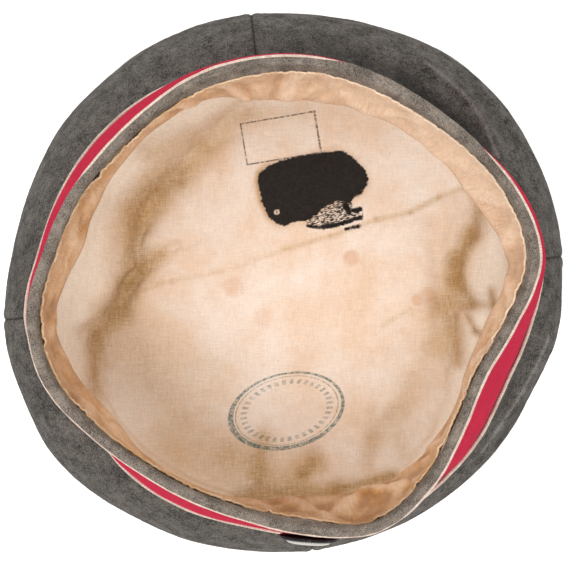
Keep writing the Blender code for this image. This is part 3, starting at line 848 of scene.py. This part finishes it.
# Folds in the sweatband: direction and half width in degrees, the share of its depth where they are
# highest, from 0 at the free edge to 1 at the seam, their reach, slant in degrees a share, and height
SWEAT_FOLDS = table(
    "angle spread level reach slant height",
    (97, 2, 0.45, 0.45, 6, 2.4), (94.5, 0.9, 0.4, 0.4, 6, -1.6), (85, 0.7, 0.55, 0.5, -3, -2),
    (81, 3.2, 0.5, 0.5, -3, 1.8), (74, 1.6, 0.2, 0.3, -14, -1.2), (64, 4, 0.4, 0.4, 16, 1.2),
    (50, 3, 0.5, 0.5, -18, 1.1), (42, 3, 0.5, 0.5, 10, 1.4), (30, 2.2, 0.4, 0.4, -12, 1),
    (18, 3.2, 0.5, 0.5, -10, 1.5), (6, 2.4, 0.4, 0.5, 8, 1.8), (1, 1.4, 0.5, 0.4, -5, -1.8),
    (352, 2, 0.5, 0.5, -8, 2.2), (346, 1.2, 0.6, 0.4, 6, -1.5), (336, 3, 0.6, 0.4, 12, 1.8),
    (322, 2, 0.5, 0.4, -10, 1.6), (311, 1.8, 0.6, 0.5, 8, 1.8), (304, 2, 0.4, 0.4, 14, 1.6),
    (298, 1.4, 0.5, 0.4, -12, -1.6), (292, 2.6, 0.35, 0.4, 18, 2.6), (285, 1.6, 0.7, 0.4, -16, -1.6),
    (279, 2.6, 0.5, 0.4, -14, 2.2), (271, 1.8, 0.55, 0.5, 12, 2.2), (265, 1.2, 0.6, 0.4, -9, -1.4),
    (259, 2.4, 0.5, 0.4, 9, 1.4), (228, 3, 0.4, 0.4, -9, 0.8), (205, 2.6, 0.6, 0.4, 6, 1.2),
    (190, 1.6, 0.6, 0.4, -8, -1), (183, 2, 0.3, 0.4, 6, 1.4), (160, 3, 0.5, 0.4, -6, 0.9),
    (143, 1.5, 0.3, 0.4, 6, -1.2), (132, 2.6, 0.6, 0.4, 8, 1), (112, 1.6, 0.3, 0.5, 10, 1.6),
)


def sewn_radius(theta):
    return around(rim_line, theta.ravel())[:, 0] - by_direction(SEWN, theta.ravel(), "run") * MM


def make_facing():
    def place(theta, share):
        """Over the roll for most of its width, then down behind the sweatband, clear of it."""
        line = around(rim_line, theta.ravel())
        tuck = by_direction(TUCKS, theta.ravel(), "share")
        steps = np.array(ROLLS)
        along = np.minimum(share.ravel() / ROLL_SHARE, 1.0)
        roll = between(steps, along * (len(steps) - 1), closed=False) * MM
        down = np.clip((share - ROLL_SHARE) / (1 - ROLL_SHARE), 0.0, 1.0)
        lean = np.maximum(around(sweat_skin[:, 9, 0] - sweat_skin[:, 11, 0], theta.ravel()), 0.0)
        low = sewn_radius(theta) + FACING_GAP + lean * down
        radius = line[:, 0][None, :] + roll[:, :1] + roll[:, 2:] * tuck[None, :]
        height = line[:, 1][None, :] + roll[:, 1:2] - down * FACING_DROP
        radius = radius + (low - radius) * np.minimum(down / 0.45, 1.0)
        points = upright(radius, height, theta)
        rough = 0.6 * lumps(points, 3 * MM, 6.0) + 0.4 * lumps(points, 9 * MM, 2.0)
        return points + outward(points) * (0.22 * MM * rough)[..., None]

    bent_cloth("edge_cloth", edge_wool, np.linspace(0, TURN, 901), np.linspace(0, 1, 45),
               place, (600 * MM, 17 * MM), thickness=EDGE_WOOL, replaces=("rim_facing",))


def sweat_place(theta, share):
    """The sweatband's inner face, share 0 at its free edge and 1 at its sewn edge.

    Folds, gathers and small slanted wrinkles push it inwards, and die out at the stitches. The sewn edge is
    ragged, and sinks where its seam has opened.
    """
    radius, height = laid(sweat_skin, theta.ravel(), np.minimum(share, 1.0).ravel())
    line = around(rim_line, theta.ravel())
    radius = radius + (sewn_radius(theta) - radius[-1]) * smooth(0.35, 1.0, share)
    height = height + (line[:, 1] - SEWN_DROP - height[-1]) * smooth(0.6, 1.0, share)
    spread = theta + 0.0 * share
    inward = np.zeros_like(radius)
    for fold in SWEAT_FOLDS:
        turned = apart(spread, fold.angle + fold.slant * (share - fold.level))
        inward += fold.height * MM * bell(turned, fold.spread) * bell(share - fold.level, fold.reach)
    ring = upright(95 * MM + 0.0 * radius, 0.02 * share + 0.0 * radius, theta)
    gather = 0.6 * lumps(ring, 3.2 * MM, 1.0) + 0.4 * lumps(ring, 7 * MM, 9.0)
    inward += 0.7 * MM * gather * smooth(0.6, 0.97, share)
    inward += 0.7 * MM * lumps(ring, 13 * MM, 4.0)
    slanted = upright(95 * MM + 0.0 * radius, 0.02 * share + 0.0 * radius, theta + 0.12 * share)
    inward += 0.7 * MM * lumps(slanted * (1, 1, 0.7), 5 * MM, 15.0) * smooth(0.0, 0.3, share)
    inward *= 1 - 0.85 * smooth(0.84, 0.98, share)
    edge = ring * (1, 1, 0)
    stitches = np.abs(lumps(edge, 2.3 * MM, 12.0)) + 0.7 * np.abs(lumps(edge, 5 * MM, 3.0))
    radius = radius + 1.5 * MM * (stitches - 0.4) * smooth(0.95, 1.0, share)
    for gap in SEAM_GAPS:
        sunk = bell(apart(spread, gap.angle), gap.spread) * smooth(0.84, 1.0, share)
        height = height - gap.depth * MM * sunk
        inward += 0.6 * MM * sunk
    height = height + 0.9 * MM * lumps(ring, 18 * MM, 6.0) * smooth(0.2, 0.0, share)
    hem = 0.12 * MM * bell(share - 0.985, 0.012) + 0.25 * MM * bell(share - 0.03, 0.03)
    return upright(radius - np.maximum(inward, -0.3 * MM) - hem, height, theta)


def make_sweatband():
    def marks(points):
        """Brown with sweat near the seam, brown in a patch on the left, painted shade in the hollows and low
        in front, and painted light on the heights and on the side towards the lamps.
        """
        share = SWEAT_ROWS[:, None]
        radius = np.hypot(points[..., 0], points[..., 1])
        # Painted shade in the hollows and painted light on the heights, from how far the cloth lies out
        # beyond its neighbours
        hollow = radius - 0.5 * (np.roll(radius, 16, axis=1) + np.roll(radius, -16, axis=1))
        worn = 0.5 + 0.5 * lumps(points, 20 * MM, 2.0)
        theta = np.arctan2(points[..., 1], points[..., 0])
        # Painted light on the side towards the lamps, which also takes away some of the brown
        lit_side = bell(apart(theta, 35), 58)
        # A brown patch on the left, and painted shade low in front
        brown = bell(apart(theta, 197), 6) * 0.2 + bell(apart(theta, 265), 20) * 0.35
        soil = 0.45 * smooth(0.0, 1.3 * MM, hollow) + 0.25 * worn * smooth(0.5, 0.9, share) + brown
        soil = soil * (1 - 0.7 * lit_side)
        return {"soil": np.clip(soil, 0.0, 0.8), "hem": smooth(0.985, 1.0, share) * 0.25 * worn,
                "pale": np.clip(lit_side * (0.8 + 0.2 * worn) + 0.5 * smooth(0.0, -1.3 * MM, hollow), 0, 1)}

    bent_cloth("sweatband_cotton", tan_cotton, np.linspace(0, TURN, 1441), SWEAT_ROWS,
               sweat_place, (560 * MM, 42 * MM), marks=marks, thickness=-COTTON, replaces=("sweatband",))


# Lining

# Creases and folds of the bag, rising where the depth is negative. Their brown is soil together with
# painted shade: in the valleys, over the lower left of the floor and under the sweatband's free edge
CREASES = table(
    CREASE,
    (160, 254, 140, 269, 8, 1.2, 0.75), (140, 269, 127, 286, 10, 1.8, 0.85),
    (127, 286, 118, 311, 11, 1.6, 0.8), (118, 311, 97, 340, 11, 1, 0.6), (96, 335, 94, 396, 8, 1, 0.7),
    (117, 306, 80, 331, 5, 0.8, 0.3), (118, 320, 150, 352, 20, 0.2, 0.35),
    (131, 258, 136, 215, 20, 0.8, 0.65), (134, 246, 140, 225, 7, 0.8, 0.5),
    (138, 213, 152, 194, 17, 0.8, 0.65), (152, 194, 176, 177, 14, 0.9, 0.75),
    (176, 177, 206, 148, 12, 0.8, 0.55), (206, 148, 245, 118, 9, 0.6, 0.3), (176, 246, 130, 266, 4, -1, 0),
    (130, 266, 100, 292, 7, -0.9, 0), (143, 289, 172, 281, 1.4, 0.3, 0.3),
    (172, 281, 222, 271, 1.4, 0.25, 0.25), (152, 262, 205, 240, 1.6, 0.2, 0.12),
    (150, 152, 190, 136, 13, 0.2, 0.5), (112, 350, 190, 425, 36, 0, 0.3),
    (150, 378, 205, 366, 22, 0.2, 0.25), (175, 445, 225, 475, 28, 0, 0.35),
    (230, 458, 285, 480, 18, 0.2, 0.55), (263, 438, 258, 480, 8, 0.4, 0.7),
    (100, 215, 88, 300, 22, -0.6, 0.08), (234, 268, 285, 249, 1.2, 0.2, 0.2),
    (285, 249, 330, 236, 1.4, 0.3, 0.4), (330, 236, 376, 220, 1.4, 0.35, 0.45),
    (376, 220, 410, 212, 1.5, 0.4, 0.45), (410, 212, 440, 197, 1.7, 0.5, 0.6),
    (440, 197, 463, 188, 1.5, 0.4, 0.45), (480, 207, 472, 234, 8, 1.5, 0.7),
    (472, 234, 458, 260, 7, 1.8, 0.8), (458, 260, 457, 280, 7, 1.8, 0.85),
    (457, 280, 472, 303, 6, 1.5, 0.75), (451, 270, 449, 304, 13, 0.6, 0.5),
    (462, 306, 490, 305, 3.5, 0.8, 0.5), (491, 292, 494, 305, 3.2, 1, 0.8), (464, 302, 490, 298, 5, -0.6, 0),
    (447, 306, 453, 352, 12, 0.6, 0.5), (454, 318, 458, 362, 5, 0.8, 0.5),
    (469, 317, 476, 331, 2.2, 0.8, 0.65), (476, 331, 484, 337, 2.2, 0.8, 0.6),
    (438, 300, 436, 345, 9, 0.2, 0.35), (474, 216, 488, 285, 18, -0.4, 0.12),
    (511, 238, 516, 290, 6, 0.6, 0.35), (514, 241, 514, 249, 3.5, 0.8, 0.4),
    (515, 276, 513, 284, 4, 0.9, 0.5), (411, 309, 383, 325, 1.4, 0.3, 0.25),
    (430, 350, 424, 385, 10, 0.4, 0.2), (412, 378, 404, 412, 7, 0.6, 0.3),
    (397, 412, 372, 438, 8, 0.6, 0.35), (380, 438, 366, 458, 7, 0.7, 0.35),
    (395, 425, 404, 455, 8, 0.5, 0.3), (372, 405, 369, 470, 4, 0.5, 0.2), (303, 474, 312, 462, 10, 1.1, 0.9),
    (240, 496, 336, 492, 7, 1.2, 0.9), (336, 491, 392, 476, 5, 0.9, 0.9), (322, 440, 336, 468, 11, -1.6, 0),
    (336, 468, 352, 474, 9, -1, 0), (500, 230, 488, 268, 9, -1.2, 0), (420, 372, 436, 420, 8, -0.8, 0),
    (395, 160, 440, 190, 12, -0.5, 0), (250, 116, 300, 112, 7, 0.2, 0.3), (215, 122, 250, 112, 9, 0.4, 0.35),
)

# Stains on the lining: pixel, half width, strength
STAINS = table(
    "x y size strength",
    (351, 258, 8, 0.55), (234, 287, 10, 0.35), (227, 285, 5, 0.2), (262, 318, 9, 0.2), (427, 296, 8, 0.35),
    (417, 300, 6, 0.5), (300, 360, 16, 0.1),
)

# The spilt ink's outline, the ends of its strokes and the part where the brush ran dry
INK = table(
    "x y",
    (259.3, 173.1), (266.9, 166.6), (278.8, 161.2), (299.4, 155.8), (322.2, 152), (340.6, 150.9),
    (347.1, 153.1), (353.6, 158), (360.1, 163.9), (365.6, 170.4), (368.8, 178.6), (366.7, 185.1),
    (361.8, 193.8), (353.6, 198.1), (350.6, 203.5), (338, 200.8), (324.4, 206.8), (316.8, 214.4),
    (305.9, 221), (297.2, 221.4), (284.2, 225.7), (276.6, 223.6), (269, 217.6), (264.7, 208.9),
    (261.4, 201.3), (259.3, 190.5), (257.7, 180.7),
)
DRY_INK = table(
    "x y",
    (305, 219), (316, 213), (324, 206), (338, 200), (345, 202), (352, 203), (352, 209), (362, 207),
    (363, 215), (350, 223), (338, 227), (322, 229), (307, 227),
)
INK_ENDS = table(
    CREASE,
    (308, 226, 323, 227.5, 1.5, 0, 0), (323, 227, 338, 224.5, 2.2, 0, 0),
    (338, 224.5, 361, 217.5, 2.1, 0, 0), (354, 211, 359.5, 209, 2.4, 0, 0),
    (346, 228.8, 360, 226.3, 1.5, 0, 0), (345, 205, 349, 212, 3, 0, 0),
)
INK_HOLE = table("x y size", (276.8, 212.2, 2.6))[0]


def lining_marks(points):
    """Soil with painted shade, painted light up the wall, stains, and distances in millimetres to the edges
    of the ink, as the picture shows them.
    """
    px, py = seen_at(points)
    pixel = reach_at(FLOOR_HEIGHT) / MM
    soil = np.zeros(px.shape)
    # Brown along the creases: soil together with painted shade
    for crease in CREASES:
        away = to_stroke(px, py, crease.x0, crease.y0, crease.x1, crease.y1)[0]
        soil = 1 - (1 - soil) * (1 - 0.95 * crease.soil * bell(away, crease.width * 1.1 + 1.5))
    spots = np.zeros(px.shape)
    for stain in STAINS:
        away = np.hypot(px - stain.x, py - stain.y)
        spots = np.maximum(spots, stain.strength * smooth(stain.size * 1.3, stain.size * 0.7, away))
    ink = to_outline(px, py, INK)
    hole = np.hypot(px - INK_HOLE.x, py - INK_HOLE.y)
    halo = bell(np.maximum(ink, 0), 4.0) * (0.25 + 0.6 * smooth(285, 255, px)) * smooth(-1.0, 0.5, ink)
    ink = np.maximum(ink, INK_HOLE.size - hole)
    ink = np.minimum(ink, hole - 1.0)
    for end in INK_ENDS:
        ink = np.minimum(ink, to_stroke(px, py, end.x0, end.y0, end.x1, end.y1)[0] - end.width)
    dry = to_outline(px, py, DRY_INK)
    # Painted light: the wall grows paler the higher it climbs, except where it is brown
    clean = smooth(9 * MM, 30 * MM, points[..., 2]) * (1 - soil) ** 2
    return {"soil": soil, "clean": clean, "spots": spots, "ink": ink * pixel, "dry_ink": dry * pixel,
            "halo": halo}


def lining_place(theta, share):
    """The lining's face that shows, lifted off the solid by its slack and sunk in at its creases."""
    radius, height = laid(lining_skin, theta.ravel(), share.ravel())
    points = upright(radius, height, theta)
    px, py = seen_at(points)
    lift = 1.3 + 1.0 * lumps(points, 30 * MM, 2.0) + 0.6 * lumps(points, 13 * MM, 5.0)
    lift = lift + 0.18 * lumps(points, 4 * MM, 7.0)
    for crease in CREASES:
        away = to_stroke(px, py, crease.x0, crease.y0, crease.x1, crease.y1)[0]
        beside = bell(away - 2.2 * crease.width, 1.2 * crease.width)
        lift -= crease.depth * (bell(away, crease.width) - 0.45 * beside)
    lift = np.maximum(lift, -0.2) * smooth(75 * MM, 45 * MM, height)
    beyond, below = (upright(*laid(lining_skin, theta.ravel(), np.clip(share.ravel() + d, 0, 1)), theta)
                     for d in (0.004, -0.004))
    turned = np.stack((-points[..., 1], points[..., 0], 0 * radius), axis=-1)
    normals = np.cross(turned, beyond - below)
    normals = normals / np.maximum(np.linalg.norm(normals, axis=-1, keepdims=True), 1e-12)
    steep = smooth(20 * MM, 45 * MM, radius)[..., None]
    normals = normals * steep + np.array((0.0, 0.0, -1.0)) * (1 - steep)
    return points - normals * (lift * MM)[..., None]


def make_lining():
    """Floor and wall meet without a gap and are two pieces only to keep each of them small."""
    split = 0.72
    for name, shares, width, replaces in (
            ("lining_floor", np.linspace(0, split, 169), 120 * MM, ("lining",)),
            ("lining_wall", np.linspace(split, 1, 31), 40 * MM, ())):
        bent_cloth(name, cream_linen, np.linspace(0, TURN, 561), shares, lining_place,
                   (560 * MM, width), marks=lining_marks, inside=True, replaces=replaces)


# Cockade

def make_cockade():
    """A pressed disc: a ribbed black ring, a white ring and a black middle.

    Profiles and ribs are in shares of its radius outwards and of its depth along its axis.
    """
    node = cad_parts["cockade"]
    corners = np.array([vertex.co[:] for vertex in node.data.vertices])
    middle = corners.mean(axis=0)
    areas = {}
    for face in node.data.polygons:
        key = tuple(round(c, 2) for c in face.normal)
        areas[key] = areas.get(key, 0.0) + face.area
    axis = -Vector(max(areas, key=areas.get)).normalized()
    axis = Vector((axis.x, axis.y, 0.0)).normalized()
    foot = Vector((middle[0], -COCKADE_SEAT, middle[2]))
    radius = max((Vector(c) - foot - axis * (Vector(c) - foot).dot(axis)).length for c in corners.tolist())
    side = axis.cross(Vector((0, 0, 1))).normalized()
    stand = Matrix((side, axis.cross(side), axis)).transposed().to_4x4()
    stand.translation = foot

    def disc(name, material, profile):
        bm = bmesh.new()
        chain = [bm.verts.new((r * radius, 0.0, z * COCKADE_DEPTH)) for r, z in profile]
        edges = [bm.edges.new(pair) for pair in zip(chain, chain[1:])]
        bmesh.ops.spin(bm, geom=chain + edges, axis=(0, 0, 1), cent=(0, 0, 0), steps=72, angle=TURN,
                       use_merge=True)
        bmesh.ops.remove_doubles(bm, verts=bm.verts, dist=0.000001)
        bmesh.ops.recalc_face_normals(bm, faces=bm.faces)
        bmesh.ops.transform(bm, matrix=stand, verts=bm.verts)
        return finished(name, bm, material)

    disc("cockade_plate", black_enamel, (
        (0, 0), (0.97, 0), (1, 0.08), (1, 0.2), (0.95, 0.28), (0.9, 0.32), (0.84, 0.46), (0.78, 0.6),
        (0.74, 0.66), (0.72, 0.6), (0, 0.6)))
    disc("cockade_white_ring", white_enamel, (
        (0.73, 0.5), (0.73, 0.85), (0.68, 1.06), (0.58, 1.16), (0.48, 1.1), (0.44, 0.96), (0.44, 0.5),
        (0.73, 0.5)))
    disc("cockade_middle", black_enamel, (
        (0, 0.5), (0.44, 0.5), (0.435, 0.88), (0.36, 0.98), (0.2, 1.05), (0, 1.07)))
    tilt = Matrix.Rotation(math.atan2(0.4 * COCKADE_DEPTH, 0.24 * radius), 4, "Y")
    sized = Matrix.Diagonal((0.14 * radius, 0.052 * radius, 0.045 * radius, 1.0))
    seat = Matrix.Translation((0.86 * radius, 0, 0.42 * COCKADE_DEPTH))
    bm = bmesh.new()
    for k in range(COCKADE_RIBS):
        rib = bmesh.ops.create_uvsphere(bm, u_segments=8, v_segments=6, radius=1.0)["verts"]
        turned = Matrix.Rotation(TURN * k / COCKADE_RIBS, 4, "Z")
        bmesh.ops.transform(bm, matrix=stand @ turned @ seat @ tilt @ sized, verts=rib)
    ribs = finished("cockade_ribs", bm, black_enamel)
    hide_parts("cockade")


# Stage

def make_stage():
    scene = bpy.context.scene
    lens = bpy.data.cameras.new("camera")
    lens.sensor_width = 36
    lens.lens = 36 * VIEW_DISTANCE / VIEW_WIDTH
    lens.clip_end = 20
    camera = bpy.data.objects.new("camera", lens)
    middle = under_pixel(PICTURE / 2, PICTURE / 2, RIM_HEIGHT)
    camera.location = (middle.x, middle.y, RIM_HEIGHT + VIEW_DISTANCE)
    camera.rotation_euler = (0, 0, -VIEW_TURN)
    scene.collection.objects.link(camera)
    scene.camera = camera

    bm = bmesh.new()
    bmesh.ops.create_grid(bm, x_segments=1, y_segments=1, size=3.0)
    bmesh.ops.translate(bm, verts=bm.verts, vec=(0, 0, -0.0005))
    mesh = bpy.data.meshes.new("floor")
    bm.to_mesh(mesh)
    bm.free()
    # White paper, matte, with a little light of its own so that it stays pale right up to the cap
    paper = new_material("white_paper", 0.9)
    shader = paper.node_tree.nodes["Principled BSDF"].inputs
    shader["Base Color"].default_value = linear("#fbfaf8")
    shader["Emission Color"].default_value = (1, 1, 1, 1)
    shader["Emission Strength"].default_value = 0.45
    mesh.materials.append(paper)
    floor = bpy.data.objects.new("floor", mesh)
    scene.collection.objects.link(floor)

    def lamp(name, power, size, azimuth, height):
        """A round soft light. Its azimuth is that of the picture, 0 on the right and 270 below."""
        data = bpy.data.lights.new(name, "AREA")
        data.shape = "DISK"
        data.size = size
        data.energy = power
        obj = bpy.data.objects.new(name, data)
        turn, rise = math.radians(azimuth) - VIEW_TURN, math.radians(height)
        aim = Vector((math.cos(turn) * math.cos(rise), math.sin(turn) * math.cos(rise), math.sin(rise)))
        obj.location = aim * LAMP_DISTANCE
        obj.rotation_euler = aim.to_track_quat("Z", "Y").to_euler()
        scene.collection.objects.link(obj)

    # Power in watts, size in metres, azimuth and height in degrees. The cap's own wall would shade the
    # hollow from anything lower than 60 degrees.
    lamp("key", 13, 0.9, 264, 64)
    lamp("left", 6.5, 1.1, 172, 60)
    lamp("right", 3.6, 1.1, 14, 62)
    lamp("far", 6.5, 1.3, 92, 66)
    world = bpy.data.worlds.new("studio")
    world.use_nodes = True
    world.node_tree.nodes["Background"].inputs[0].default_value = (1, 1, 1, 1)
    world.node_tree.nodes["Background"].inputs[1].default_value = 0.6
    scene.world = world
    scene.view_settings.view_transform = "Standard"


make_crown()
make_band()
make_piping("waist_cord", waist_line, "waist_piping")
make_piping("rim_cord", rim_line, "rim_piping")
make_facing()
make_sweatband()
make_lining()
make_cockade()
make_stage()
